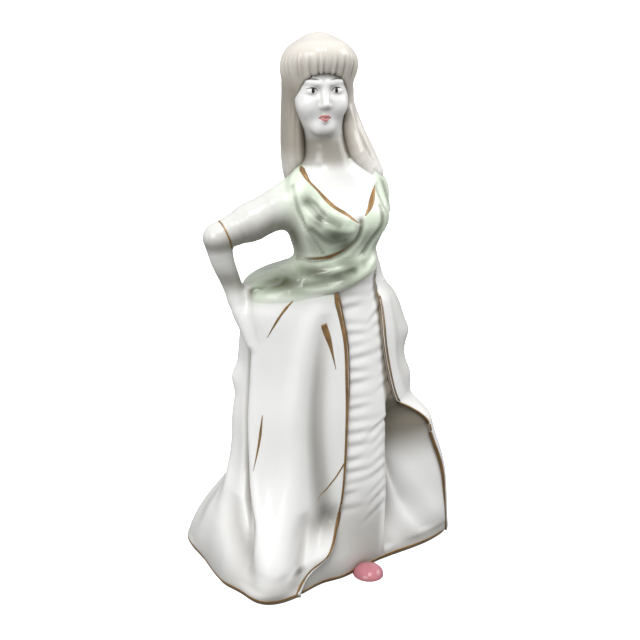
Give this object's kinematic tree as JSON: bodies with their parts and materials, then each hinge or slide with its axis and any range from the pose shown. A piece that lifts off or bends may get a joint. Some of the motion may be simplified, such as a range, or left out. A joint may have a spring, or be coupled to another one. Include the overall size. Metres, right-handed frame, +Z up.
{
  "type": "porcelain figurine",
  "caption": "Glazed porcelain figurine of a long-haired lady in a draped open-fronted gown, one hand on her hip, with gilded edges.",
  "frame": {"origin": "centre of the footprint, on the flat underside that rests on the shelf", "axes": "+Z up through the crown of the hair, -Y is the figure's front, her right hand is on the -X side"},
  "size_m": [0.1042, 0.079, 0.2],
  "materials": {
    "white_porcelain": "glazed",
    "green_porcelain": "glazed",
    "hair_porcelain": "glazed",
    "pink_enamel": "glazed",
    "gilding": "satin",
    "dark_enamel": "glazed",
    "lip_enamel": "glazed"
  },
  "bodies": {
    "root": {"closing_plate": "white_porcelain", "front_panel": "white_porcelain", "overskirt": "white_porcelain", "hip_sash": "green_porcelain", "bodice": "green_porcelain", "head": "white_porcelain", "hair_cap": "hair_porcelain", "hair_fall": "hair_porcelain", "right_arm": "white_porcelain", "left_arm": "white_porcelain", "shoe": "pink_enamel", "gilt_left_edge": "gilding", "gilt_right_edge": "gilding", "gilt_overskirt_hem": "gilding", "gilt_panel_hem": "gilding", "gilt_fold_strokes": "gilding", "gilt_neckline": "gilding", "gilt_waistband": "gilding", "gilt_cuff": "gilding", "painted_eyes": "dark_enamel", "painted_brows": "dark_enamel", "painted_lips": "lip_enamel"}
  },
  "joints": []
}
